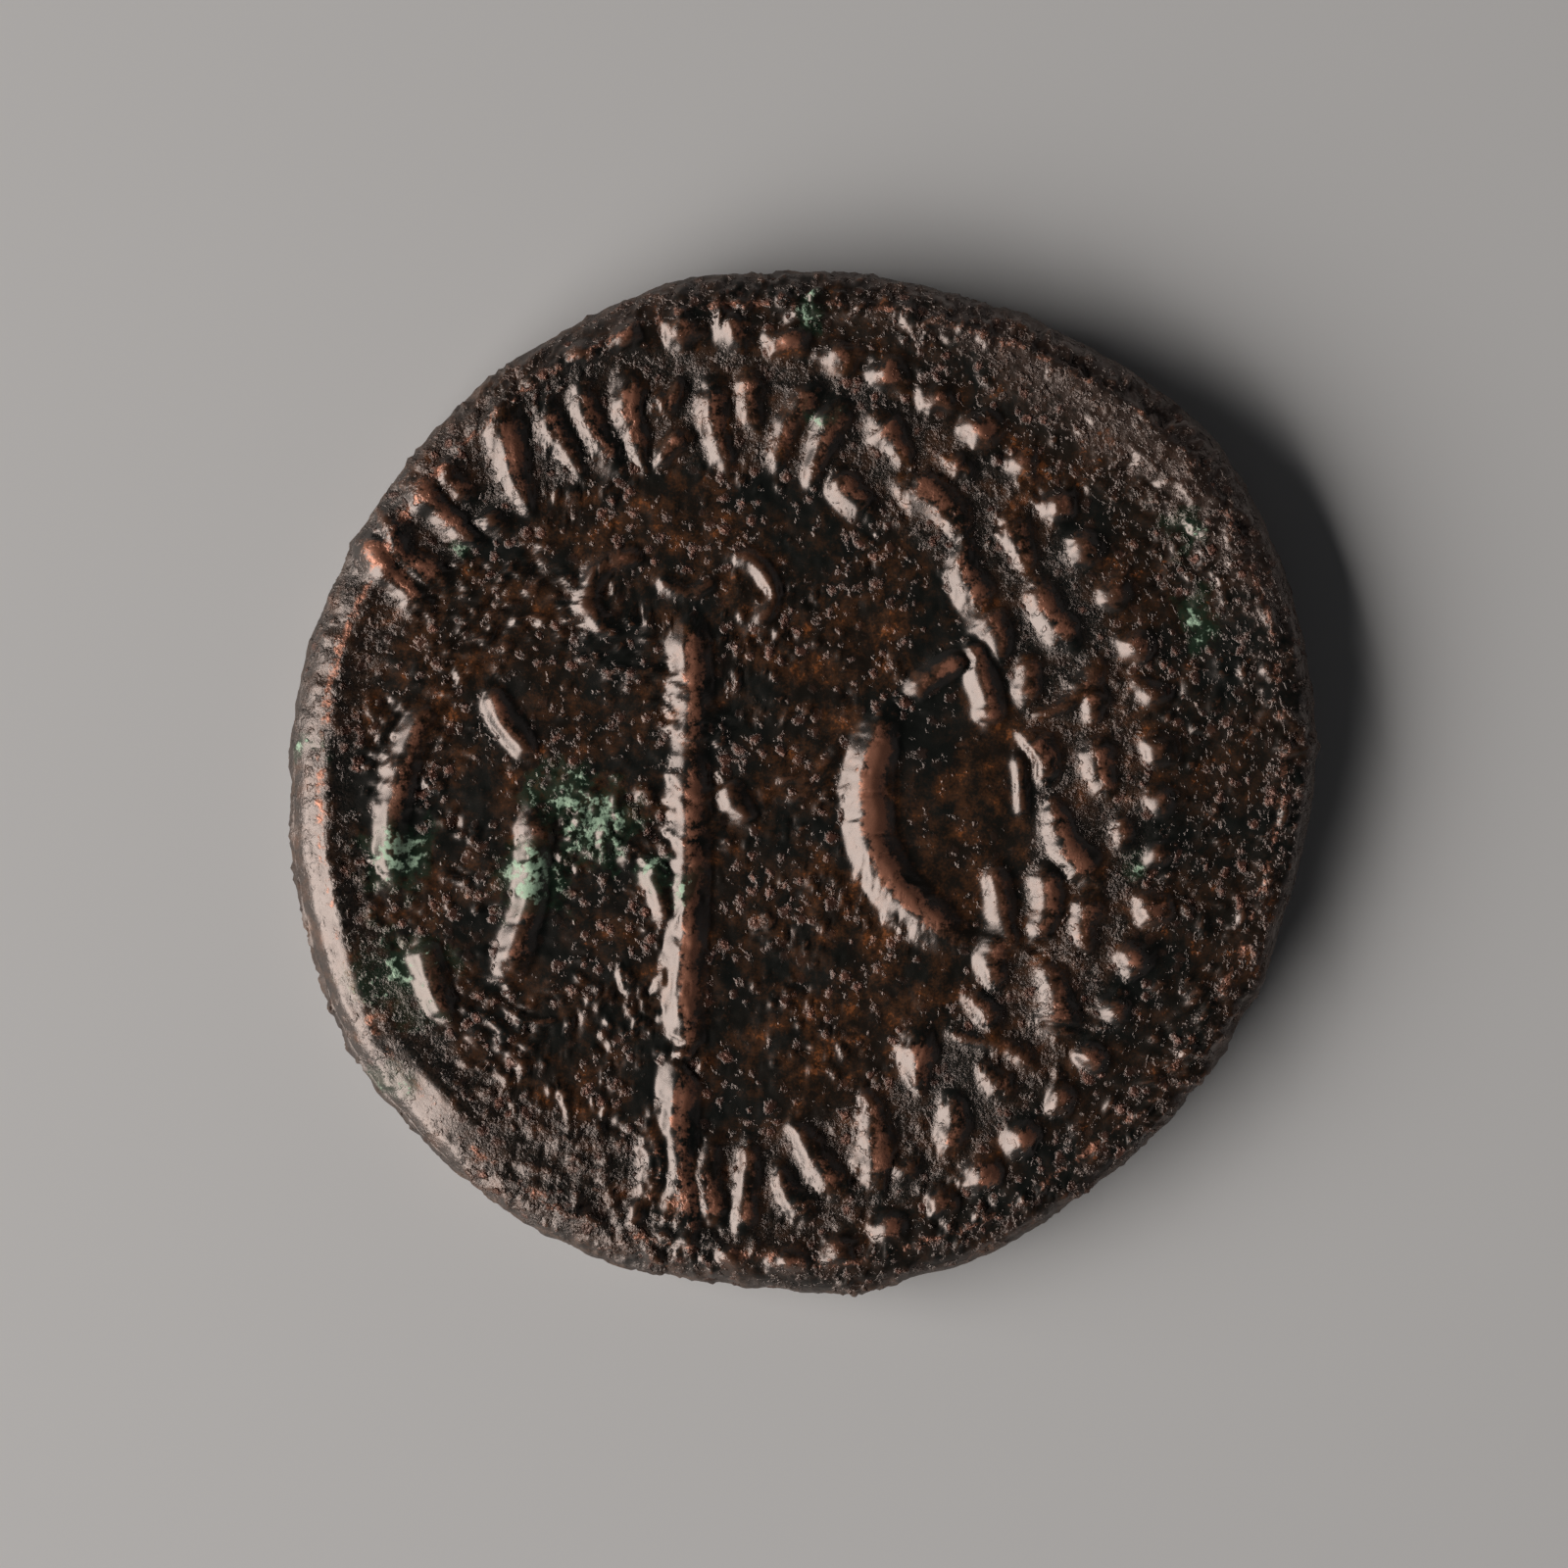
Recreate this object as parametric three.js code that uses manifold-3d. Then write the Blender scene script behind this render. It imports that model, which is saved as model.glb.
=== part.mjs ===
// A worn Roman bronze coin of the first century, struck a little off its centre on a cast flan.
// Millimetres, +Z up. It lies flat on its underside, the winged staff pointing to +Y. The origin is
// the middle of its box, at the height of the surface it lies on.
import * as THREE from 'three';
import { mergeVertices } from 'three/addons/utils/BufferGeometryUtils.js';
import Module from 'manifold-3d';

// The flan: its outline is a circle with a few broad swells and flats, as cast.
const FLAN_RADIUS = 13.45;
const SWELLS = [
  { at: 36, by: 0.72, spread: 28 },
  { at: 104, by: 0.2, spread: 12 },
  { at: 182, by: 0.08, spread: 14 },
  { at: 217, by: 0.42, spread: 26 },
  { at: 243, by: 0.12, spread: 9 },
  { at: 276, by: 0.13, spread: 7 },
  { at: 320, by: -0.22, spread: 26 },
];
const RIPPLES = [
  { waves: 9, by: 0.035, turn: 1.0 },
  { waves: 17, by: 0.022, turn: 2.2 },
  { waves: 29, by: 0.014, turn: 0.4 },
];
const OUTLINE_SIDES = 62;

// The flan's section: how far in from the edge each corner is, and its height above the surface that
// the coin lies on. It runs from the middle of the under face round the edge to the middle on top.
const SECTION = [
  [FLAN_RADIUS, 0.2],
  [1.95, 0.2],
  [1.6, 0],
  [0.6, 0],
  [0.16, 0.26],
  [0.03, 0.68],
  [0, 1.1],
  [0.03, 1.47],
  [0.16, 1.9],
  [0.5, 2.2],
  [0.84, 2.34],
  [1.12, 2.34],
  [1.5, 2.16],
  [1.9, 2.12],
  [2.6, 2.12],
  [3.3, 2.12],
  [FLAN_RADIUS, 2.12],
];
const FIELD_Z = 2.12;
const RIM_RISE = 0.22;
const UNDER_FIELD_Z = 0.2;

// The rim is worn away at the lower left and lower right, and slopes up broadly at the upper right. The
// left edge has a wide bevel above a steeper side, and a low facet at the lower left. Their planes are
// given by a height at the outline and a slope inwards.
const RIM_WORN = [
  { at: 222, spread: 20, much: 1 },
  { at: -30, spread: 62, much: 0.85 },
];
const SHOULDER = { at: 50, spread: 34, rise: 0.34, outer: 0.8, inner: 3.1 };
const BEVEL = { at: 197, spread: 40, side: [1.46, 1.2], face: [1.8, 0.5] };
const FACET = { at: 220, spread: 8, rise: [1.76, 0.42], fall: [2.82, -0.36], width: 1.95 };
const WALL = { bottom: 0.3, top: 1.5, sinkAtBevel: 0.12 };
const RIM_WIDTH = 4;

// The struck design: everything on the upper face is centred on the die, not on the flan.
const DIE = new THREE.Vector2(-2.85, -0.5);
const BEADS = { radius: 12.35, count: 55, half: 0.46, rise: 0.28, edgeGap: 0.55 };
const LEGEND = { inner: 8.95, outer: 11.2, from: 146, to: -101, cells: 22, sideHalfTurn: 62, edgeGap: 0.8 };
const UPRIGHT = { bearing: -72, share: 0.65, size: 0.8 };
const STROKE = { half: 0.53, rise: 0.32 };
const SINK = 0.06;
const FLAT_CREST = 0.16;

// Each cut of the legend: its ends, across its cell from -1 to 1 and out from 0 to 1, and its size.
const CELLS = [
  [[-0.75, 0.0, -0.35, 1.0, 1.0], [0.25, 0.0, 0.65, 1.0, 0.9]],
  [[-0.5, 1.0, -0.2, 0.0, 1.0], [0.55, 0.95, 0.6, 0.5, 0.8], [0.4, 0.15, 0.85, 0.0, 0.8]],
  [[-0.35, 0.0, 0.35, 1.0, 1.1]],
  [[-0.8, 0.9, -0.45, 0.05, 0.9], [0.3, 1.0, 0.75, 0.1, 1.0]],
  [[-0.6, 0.0, -0.75, 0.95, 1.0], [-0.05, 0.05, 0.75, 0.3, 0.8], [0.0, 0.65, 0.7, 0.95, 0.8]],
  [[-0.65, 0.85, 0.0, 0.0, 1.0], [0.35, 1.0, 0.8, 0.45, 0.9]],
  [[-0.7, 0.1, -0.15, 1.0, 0.9], [0.6, 0.0, 0.6, 0.9, 1.0]],
];
// The same for the right side, where most cuts lie across their cells and the larger turn towards upright.
const SIDE_CELLS = [
  [[-0.95, 0.05, 0.75, 0.0, 0.95], [-0.8, 0.6, 0.9, 0.95, 1.1]],
  [[0.6, 0.1, -0.3, 1.0, 0.65], [-0.95, 0.35, -0.35, 0.0, 0.9], [0.45, 0.95, 1.0, 0.65, 0.85]],
  [[-0.9, 0.0, 0.5, 0.2, 1.05], [-0.5, 0.8, 0.95, 0.85, 1.0]],
  [[-0.85, 0.15, 0.85, 0.8, 1.2], [-0.7, 1.0, -0.1, 1.05, 0.8]],
  [[-0.8, 0.55, 0.75, 0.0, 1.05], [-0.5, 1.0, 0.9, 0.75, 0.95]],
];

// The under face is plainer: a bead border, a ring of strokes and a laurel wreath.
const UNDER_DIE = new THREE.Vector2(0.55, 0.4);
const UNDER_BEADS = { radius: 11.1, count: 44, half: 0.4, rise: 0.13, edgeGap: 1.7 };
const UNDER_STROKES = { inner: 8.6, outer: 10.1, count: 38, half: 0.28 };
const WREATH = { radius: 6.2, leaves: 8, leaf: 1.9, half: 0.4, from: -70, to: 66 };
const UNDER_RISE = 0.13;

const BRONZE = { color: 0x2b211b, roughness: 0.42, metalness: 0.55 };

const wasm = await Module();
wasm.setup();

const radians = THREE.MathUtils.degToRad;

const angleApart = (a, b) => Math.abs(((((a - b) % 360) + 540) % 360) - 180);

const bell = (angle, { at, spread }) => Math.exp(-((angleApart(angle, at) / spread) ** 2));

function outlineRadius(angle) {
  let radius = FLAN_RADIUS;
  for (const swell of SWELLS) radius += swell.by * bell(angle, swell);
  for (const { waves, by, turn } of RIPPLES) radius += by * Math.sin(waves * radians(angle) + turn);
  return radius;
}

const onFlan = (point, gap) => point.length() < outlineRadius(THREE.MathUtils.radToDeg(point.angle())) - gap;

function polar(radius, angle) {
  return new THREE.Vector2(Math.cos(radians(angle)), Math.sin(radians(angle))).multiplyScalar(radius);
}

// A geometry becomes a solid once only its positions are left and its shared vertices are merged.
function solid(geometry) {
  const bare = geometry.clone();
  for (const name of Object.keys(bare.attributes)) {
    if (name !== 'position') bare.deleteAttribute(name);
  }
  const merged = mergeVertices(bare, 1e-5);
  const triangles = [];
  for (let i = 0; i < merged.index.count; i += 3) {
    const [a, b, c] = [0, 1, 2].map((k) => merged.index.getX(i + k));
    if (a !== b && b !== c && a !== c) triangles.push(a, b, c);
  }
  return new wasm.Manifold(
    new wasm.Mesh({
      numProp: 3,
      vertProperties: new Float32Array(merged.attributes.position.array),
      triVerts: new Uint32Array(triangles),
    }),
  );
}

// The height of the upper face's rim once the section's own height there is worn or raised.
function rimHeight(angle, inset, z) {
  const gone = RIM_WORN.reduce((sum, worn) => sum + worn.much * bell(angle, worn), 0);
  let height = z - THREE.MathUtils.clamp(z - FIELD_Z, 0, RIM_RISE) * Math.min(gone, 1);
  if (inset > SHOULDER.outer) {
    const slope = THREE.MathUtils.smoothstep(SHOULDER.inner - inset, 0, SHOULDER.inner - SHOULDER.outer);
    height = Math.max(height, FIELD_Z + slope * SHOULDER.rise * bell(angle, SHOULDER));
  }
  const lower = (...planes) => Math.min(...planes.map(([foot, slope]) => foot + slope * inset));
  if (inset < FACET.width) height += (lower(FACET.rise, FACET.fall) - height) * bell(angle, FACET);
  return height - Math.max(0, height - lower(BEVEL.side, BEVEL.face)) * bell(angle, BEVEL);
}

// A turned disc of the flan's section, drawn out to its outline and centred on its own box.
function flan() {
  const profile = SECTION.map(([inset, z]) => new THREE.Vector2(FLAN_RADIUS - inset, z));
  const turned = new THREE.LatheGeometry(profile, OUTLINE_SIDES).rotateX(Math.PI / 2);
  const position = turned.attributes.position;
  for (let i = 0; i < position.count; i += 1) {
    const [x, y, z] = [position.getX(i), position.getY(i), position.getZ(i)];
    const angle = THREE.MathUtils.radToDeg(Math.atan2(y, x));
    const inset = FLAN_RADIUS - Math.hypot(x, y);
    const stretch = inset < RIM_WIDTH ? (outlineRadius(angle) - inset) / (FLAN_RADIUS - inset) : 1;
    let height = z > WALL.top ? rimHeight(angle, inset, z) : z;
    if (z > WALL.bottom && z < WALL.top) height -= z * WALL.sinkAtBevel * bell(angle, BEVEL);
    position.setXYZ(i, x * stretch, y * stretch, height);
  }
  turned.computeBoundingBox();
  const { min, max } = turned.boundingBox;
  return turned.translate(-(min.x + max.x) / 2, -(min.y + max.y) / 2, -min.z);
}

// A raised stroke along a path: a low roof, flat along its crest, that thins out at both ends. A wedge is
// that share wider at its start and narrower at its end.
function ridge(path, { half, rise, level = FIELD_Z, ends = 0.3, wedge = 0 }) {
  const positions = [];
  const last = path.length - 1;
  path.forEach((point, i) => {
    const ahead = path[Math.min(i + 1, last)].clone().sub(path[Math.max(i - 1, 0)]).normalize();
    const side = new THREE.Vector2(-ahead.y, ahead.x);
    const fullness = i === 0 || i === last ? ends : 1;
    const taper = 1 + wedge * (1 - (2 * i) / last);
    const wide = half * (0.45 + 0.55 * fullness) * taper;
    const tall = (rise * fullness * (1 + taper)) / 2;
    const foot = wide * (1 + ((1 - FLAT_CREST) * SINK) / tall);
    for (const [across, z] of [
      [-foot, level - SINK],
      [-wide * FLAT_CREST, level + tall],
      [wide * FLAT_CREST, level + tall],
      [foot, level - SINK],
    ]) {
      positions.push(point.x + side.x * across, point.y + side.y * across, z);
    }
  });
  const index = [0, 1, 2, 0, 2, 3];
  for (let i = 0; i < last; i += 1) {
    for (let k = 0; k < 4; k += 1) {
      const [a, b] = [4 * i + k, 4 * i + ((k + 1) % 4)];
      index.push(a, b + 4, b, a, a + 4, b + 4);
    }
  }
  const end = 4 * last;
  index.push(end, end + 2, end + 1, end, end + 3, end + 2);
  const geometry = new THREE.BufferGeometry();
  geometry.setAttribute('position', new THREE.Float32BufferAttribute(positions, 3));
  geometry.setIndex(index);
  return geometry;
}

// An arc of an ellipse, as points for a ridge.
function arc(centre, radiusX, radiusY, from, to, steps) {
  return Array.from({ length: steps + 1 }, (_, i) => {
    const angle = radians(THREE.MathUtils.lerp(from, to, i / steps));
    return new THREE.Vector2(centre.x + radiusX * Math.cos(angle), centre.y + radiusY * Math.sin(angle));
  });
}

// A stroke between two points, bent sideways in its middle by the share given.
function bent(start, end, bend, steps = 2) {
  const along = end.clone().sub(start);
  const side = new THREE.Vector2(-along.y, along.x);
  return Array.from({ length: steps + 1 }, (_, i) => {
    const t = i / steps;
    return start.clone().addScaledVector(along, t).addScaledVector(side, 4 * bend * t * (1 - t));
  });
}

const at = (x, y) => new THREE.Vector2(x, y);

function bead(centre, { half, rise }, level) {
  const dome = new THREE.SphereGeometry(half, 6, 4).rotateX(Math.PI / 2);
  return dome.scale(1, 1, (rise + SINK) / half).translate(centre.x, centre.y, level - SINK);
}

// Beads stand all round the die, and only those that landed on the flan were struck.
function beads(border, die, level) {
  const struck = [];
  for (let i = 0; i < border.count; i += 1) {
    const centre = polar(border.radius, (360 * i) / border.count).add(die);
    if (onFlan(centre, border.edgeGap)) struck.push(bead(centre, border, level));
  }
  return struck;
}

// Each cell of the legend holds one to three cuts that don't touch, and every cut bows a little.
function legend() {
  const strokes = [];
  const pitch = (LEGEND.to - LEGEND.from) / LEGEND.cells;
  for (let i = 0; i < LEGEND.cells; i += 1) {
    const cells = Math.abs(LEGEND.from + pitch * (i + 0.5)) < LEGEND.sideHalfTurn ? SIDE_CELLS : CELLS;
    cells[i % cells.length].forEach(([across, out, toAcross, toOut, size], k) => {
      const [start, end] = [[across, out], [toAcross, toOut]].map(([sideways, share]) => {
        const radius = THREE.MathUtils.lerp(LEGEND.inner, LEGEND.outer, share);
        return polar(radius, LEGEND.from + pitch * (i + 0.5 + 0.42 * sideways)).add(DIE);
      });
      if (!onFlan(start, LEGEND.edgeGap) || !onFlan(end, LEGEND.edgeGap)) return;
      if (cells === SIDE_CELLS && size > UPRIGHT.size) {
        const middle = start.clone().lerp(end, 0.5);
        const turn = THREE.MathUtils.radToDeg(end.clone().sub(start).angle());
        const short = THREE.MathUtils.euclideanModulo(UPRIGHT.bearing - turn + 90, 180) - 90;
        const by = radians(UPRIGHT.share * short);
        start.rotateAround(middle, by);
        end.rotateAround(middle, by);
      }
      const half = size * STROKE.half;
      const rise = (0.4 + 0.6 * size) * STROKE.rise;
      const wedge = 0.4 * Math.sin(2.7 * i + 1.6 * k);
      const bow = 0.13 * Math.sin(3.3 * i + 2 * k);
      strokes.push(ridge(bent(start, end, bow), { half, rise, wedge, ends: 0.6 }));
    });
  }
  return strokes;
}

// The winged staff, from the curled horns at its top to where it crosses the legend.
function staff() {
  const shaft = { half: 0.64, rise: 0.36, ends: 0.7 };
  const thin = { half: 0.17, rise: 0.12 };
  return [
    ridge([at(-2.92, 3.95), at(-2.96, 3.0), at(-2.94, 1.0)], shaft),
    ridge([at(-2.95, 0.82), at(-2.98, -2.5), at(-3.1, -5.0), at(-3.1, -6.75)], shaft),
    ridge([at(-3.2, -6.95), at(-3.05, -7.35)], { half: 0.36, rise: 0.3 }),
    ridge([at(-3.24, -7.6), at(-3.26, -9.3), at(-3.02, -11.7)], shaft),
    bead(at(-2.62, -7.4), { half: 0.4, rise: 0.2 }, FIELD_Z),
    ridge(arc(at(-4.55, 4.9), 1.1, 1.0, 70, 250, 7), { half: 0.36, rise: 0.26 }),
    ridge(arc(at(-1.75, 4.95), 0.95, 0.95, 100, -60, 6), { half: 0.34, rise: 0.22 }),
    ridge([at(-3.9, 5.3), at(-3.0, 5.0), at(-2.3, 5.35)], { half: 0.28, rise: 0.16 }),
    ridge([at(-2.05, 0.0), at(-1.75, -0.5), at(-1.4, -1.05)], { half: 0.42, rise: 0.26 }),
    ridge([at(-3.98, -2.2), at(-3.8, -2.8), at(-3.62, -3.6)], { half: 0.4, rise: 0.26 }),
    ridge(bent(at(-0.7, 0.1), at(1.05, 0.95), -0.1, 4), thin),
    ridge(bent(at(-0.4, -0.45), at(0.7, 0.1), -0.08, 4), thin),
  ];
}

// Two broken rings of large separate strokes flank the staff.
function flankingStrokes() {
  const bold = { half: 0.76, rise: 0.38 };
  const slim = { half: 0.52, rise: 0.31 };
  const short = { half: 0.44, rise: 0.3 };
  return [
    ridge(arc(at(5.1, -0.4), 3.4, 3.8, 146, 254, 13), bold),
    ridge(arc(at(5.1, -0.4), 3.2, 3.8, 104, 135, 4), short),
    ridge([at(4.5, 3.7), at(4.8, 2.6), at(4.95, 1.5)], slim),
    ridge([at(5.65, 0.75), at(5.8, -0.1), at(5.75, -0.9)], { half: 0.25, rise: 0.16 }),
    ridge([at(5.1, -2.2), at(5.25, -3.3), at(5.5, -4.4)], short),
    ridge(arc(at(-8.85, -1.6), 1.95, 4.0, 118, 194, 7), slim),
    ridge([at(-8.3, 2.35), at(-7.75, 1.55), at(-7.15, 0.7)], short),
    ridge(arc(at(-8.85, -1.6), 1.8, 4.0, -62, 14, 7), slim),
    ridge([at(-10.0, -4.2), at(-9.75, -5.15), at(-9.4, -6.1)], slim),
  ];
}

// The under face is made as if it faced up, then turned over with everything on it.
function underRelief() {
  const parts = [...beads(UNDER_BEADS, UNDER_DIE, 0)];
  const rise = UNDER_RISE;
  for (let i = 0; i < UNDER_STROKES.count; i += 1) {
    const angle = (360 * i) / UNDER_STROKES.count;
    const start = polar(UNDER_STROKES.inner + 0.3 * Math.sin(2.1 * i), angle).add(UNDER_DIE);
    const end = polar(UNDER_STROKES.outer, angle + 2.6 + 1.4 * Math.sin(1.7 * i)).add(UNDER_DIE);
    parts.push(ridge([start, end], { half: UNDER_STROKES.half, rise, level: 0, ends: 0.6 }));
  }
  for (const hand of [1, -1]) {
    for (let i = 0; i < WREATH.leaves; i += 1) {
      const angle = THREE.MathUtils.lerp(WREATH.from, WREATH.to, i / (WREATH.leaves - 1));
      const stem = polar(WREATH.radius, angle);
      for (const side of [-1, 1]) {
        const start = stem.clone().add(polar(0.42 * side, angle));
        const tip = start.clone().add(polar(WREATH.leaf, angle + 90 - 26 * side));
        const leaf = [start, start.clone().lerp(tip, 0.5), tip];
        for (const point of leaf) point.x *= hand;
        if (hand < 0) leaf.reverse();
        parts.push(ridge(leaf.map((p) => p.clone().add(UNDER_DIE)), { half: WREATH.half, rise, level: 0 }));
      }
    }
  }
  return parts.map((part) => part.rotateX(Math.PI).translate(0, 0, UNDER_FIELD_Z));
}

function coin() {
  const pieces = [flan(), ...beads(BEADS, DIE, FIELD_Z), ...legend()];
  pieces.push(...staff(), ...flankingStrokes(), ...underRelief());
  const struck = wasm.Manifold.union(pieces.map(solid)).getMesh();
  const geometry = new THREE.BufferGeometry();
  geometry.setAttribute('position', new THREE.BufferAttribute(struck.vertProperties, 3));
  geometry.setIndex(new THREE.BufferAttribute(struck.triVerts, 1));
  geometry.computeVertexNormals();
  return geometry;
}

const mesh = new THREE.Mesh(coin(), new THREE.MeshStandardMaterial(BRONZE));
mesh.name = 'coin';

const object = new THREE.Group();
object.add(mesh);

export default object;
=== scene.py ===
import math

import bpy
import numpy as np
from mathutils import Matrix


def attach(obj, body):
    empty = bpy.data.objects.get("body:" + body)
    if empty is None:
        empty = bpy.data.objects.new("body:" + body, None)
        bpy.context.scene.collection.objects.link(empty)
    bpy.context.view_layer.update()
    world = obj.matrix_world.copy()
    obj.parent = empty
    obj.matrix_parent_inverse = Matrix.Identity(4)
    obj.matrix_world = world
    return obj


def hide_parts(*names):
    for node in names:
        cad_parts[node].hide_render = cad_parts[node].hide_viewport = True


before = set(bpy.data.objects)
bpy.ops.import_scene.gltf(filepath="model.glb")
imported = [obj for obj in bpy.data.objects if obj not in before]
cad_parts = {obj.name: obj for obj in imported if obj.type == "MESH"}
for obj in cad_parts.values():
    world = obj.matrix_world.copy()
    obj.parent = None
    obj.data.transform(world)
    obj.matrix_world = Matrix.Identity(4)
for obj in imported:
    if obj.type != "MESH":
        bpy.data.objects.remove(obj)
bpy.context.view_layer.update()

# ---------------------------------------------------------------------------------------------
# The flan: a disc of bronze cast in a mould, then struck between two dies. Its outline swells
# where the metal was pushed out, its edge is a rounded wall, and its rim is worn at the lower left.
# One closed skin of quads makes the whole piece: two round faces of near-square cells and a wall.

MM = 0.001
FLAN_RADIUS = 13.45 * MM
SWELLS = (  # where, how far out, and how wide, in degrees
    (36, 0.72 * MM, 28),
    (104, 0.20 * MM, 12),
    (182, 0.08 * MM, 14),
    (217, 0.42 * MM, 26),
    (243, 0.12 * MM, 9),
    (276, 0.13 * MM, 7),
    (320, -0.22 * MM, 26),
)
RIPPLES = ((9, 0.035 * MM, 1.0), (17, 0.022 * MM, 2.2), (29, 0.014 * MM, 0.4), (61, 0.012 * MM, 3.0))
FIELD_EDGE_Z = 2.12 * MM
RIM_RISE = 0.22 * MM
RIM_WORN = ((222, 20, 1.0), (-30, 62, 0.85))  # where, how wide in degrees, and how much is gone
SHOULDER_AT, SHOULDER_SPREAD = 50, 34  # the broad slope up to the rim at the upper right
SHOULDER_RISE, SHOULDER_FROM, SHOULDER_TO = 0.34 * MM, 3.1 * MM, 0.8 * MM
BEVEL_AT, BEVEL_SPREAD = 197, 40  # the left edge: a matt side, then a wide smooth bevel
BEVEL_SIDE = (1.46 * MM, 1.2)  # height at the outline and slope inwards
BEVEL_FACE = (1.80 * MM, 0.46)
BEVEL_SINK = 0.12  # how much lower the wall is there
FACET_AT, FACET_SPREAD = 220, 8  # a broad worn facet at the lower left
FACET_RISE, FACET_FALL = (1.76 * MM, 0.42), (2.82 * MM, -0.36)  # heights at the outline and slopes
FACET_WIDTH = 1.95 * MM
EDGE_INSET = 0.16 * MM  # where the faces end and the wall begins
SHOULDER_FROST_AT, SHOULDER_FROST_SPREAD = 46, 24
SHOULDER_FROST_REACH, SHOULDER_FROST_FADE = 3.4 * MM, 2.0 * MM
EDGE_FROST, EDGE_FROST_REACH, EDGE_FROST_FADE = 0.45, 1.7 * MM, 0.8 * MM
BEVEL_SMOOTH_REACH, BEVEL_SMOOTH_FADE = 1.3 * MM, 0.3 * MM
FACET_SMOOTH_REACH = 1.6 * MM
UPPER_CELLS = 264  # cells across the upper face; the wall's upper rings have four times as many
UNDER_CELLS = UPPER_CELLS // 2
SECTION_STEPS, EASING_PASSES = 1200, 60

# Height of each face at its distance in from the outline, and how far in the wall lies at each
# height, in millimetres.
UPPER_SECTION = (
    (0.16, 1.90), (0.26, 2.02), (0.50, 2.20), (0.84, 2.34), (1.12, 2.34), (1.40, 2.20),
    (1.80, 2.12), (13.5, 2.12),
)
UNDER_SECTION = ((0.16, 0.26), (0.34, 0.08), (0.60, 0.0), (1.60, 0.0), (1.95, 0.18), (13.5, 0.20))
WALL_SECTION = (
    (0.16, 1.90), (0.10, 1.77), (0.06, 1.62), (0.03, 1.47), (0.01, 1.32), (0.0, 1.16), (0.0, 1.00),
    (0.01, 0.84), (0.03, 0.68), (0.06, 0.53), (0.10, 0.39), (0.16, 0.26),
)
WALL_FINE_RINGS = 3  # rings of the wall that keep the upper face's spacing


def bell(turn, at, spread):
    """1 at that bearing, falling away on both sides of it. All three are in degrees."""
    apart = np.abs((turn - at + 180) % 360 - 180)
    return np.exp(-((apart / spread) ** 2))


def outline(turn):
    """How far the flan's edge is from its middle at each bearing, in degrees."""
    radius = FLAN_RADIUS + sum(by * bell(turn, at, spread) for at, by, spread in SWELLS)
    return radius + sum(by * np.sin(waves * np.radians(turn) + phase) for waves, by, phase in RIPPLES)


def height(section, inset):
    """A face's height at each inset, along a section given in millimetres and eased at its corners."""
    insets, heights = np.array(section).T * MM
    fine = np.linspace(insets[0], insets[-1], SECTION_STEPS)
    eased = np.interp(fine, insets, heights)
    for _ in range(EASING_PASSES):
        eased[1:-1] = (eased[:-2] + 2 * eased[1:-1] + eased[2:]) / 4
    return np.interp(inset, fine, eased)


def disc(cells):
    """A square grid drawn onto a disc in rings: every point's share of the radius and bearing, the
    quads, and the points round its edge in order."""
    line = np.linspace(-1, 1, cells + 1)
    u, v = np.meshgrid(line, line)
    wide = np.abs(u) > np.abs(v)
    share = np.where(wide, u, v)
    slant = np.where(wide, v, u) / np.where(share == 0, 1, share)
    turn = np.where(wide, 45 * slant, 90 - 45 * slant)
    turn = np.where(share < 0, turn + 180, turn) % 360
    share = np.abs(share).ravel()
    index = np.arange((cells + 1) ** 2).reshape(cells + 1, cells + 1)
    quads = np.stack([index[:-1, :-1], index[:-1, 1:], index[1:, 1:], index[1:, :-1]], -1).reshape(-1, 4)
    edge = np.concatenate([index[0, :-1], index[:-1, -1], index[-1, :0:-1], index[:0:-1, 0]])
    turn = turn.ravel()
    edge = edge[np.argsort(turn[edge])]
    return share, turn, quads, edge


def face_points(share, turn, section, upper=False):
    """The points of one face, and how far in from the outline each lies."""
    reach = outline(turn)
    inset = EDGE_INSET + (1 - share) * (reach - EDGE_INSET)
    z = height(section, inset)
    if upper:
        gone = sum(much * bell(turn, at, spread) for at, spread, much in RIM_WORN)
        z = z - np.clip(z - FIELD_EDGE_Z, 0, RIM_RISE) * np.clip(gone, 0, 1)
        slope = np.clip((SHOULDER_FROM - inset) / (SHOULDER_FROM - SHOULDER_TO), 0, 1)
        shoulder = slope * slope * (3 - 2 * slope) * SHOULDER_RISE * bell(turn, SHOULDER_AT, SHOULDER_SPREAD)
        z = np.where(inset > SHOULDER_TO, np.maximum(z, FIELD_EDGE_Z + shoulder), z)
        facet = np.minimum(FACET_RISE[0] + FACET_RISE[1] * inset, FACET_FALL[0] + FACET_FALL[1] * inset)
        z = np.where(inset < FACET_WIDTH, z + (facet - z) * bell(turn, FACET_AT, FACET_SPREAD), z)
        bevel = np.minimum(BEVEL_SIDE[0] + BEVEL_SIDE[1] * inset, BEVEL_FACE[0] + BEVEL_FACE[1] * inset)
        z = z - np.maximum(z - bevel, 0) * bell(turn, BEVEL_AT, BEVEL_SPREAD)
    radius = reach - inset
    around = np.radians(turn)
    return np.stack([radius * np.cos(around), radius * np.sin(around), z], 1), inset


def frosting(turn, inset):
    """How frosted the rim is: fine-grained and pale, most on the shoulder at the upper right."""
    shoulder = bell(turn, SHOULDER_FROST_AT, SHOULDER_FROST_SPREAD)
    shoulder = shoulder * np.clip((SHOULDER_FROST_REACH - inset) / SHOULDER_FROST_FADE, 0, 1)
    edge = 1 - bell(turn, BEVEL_AT, BEVEL_SPREAD)
    edge = edge * np.clip((EDGE_FROST_REACH - inset) / EDGE_FROST_FADE, 0, 1)
    return shoulder + EDGE_FROST * edge


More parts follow.
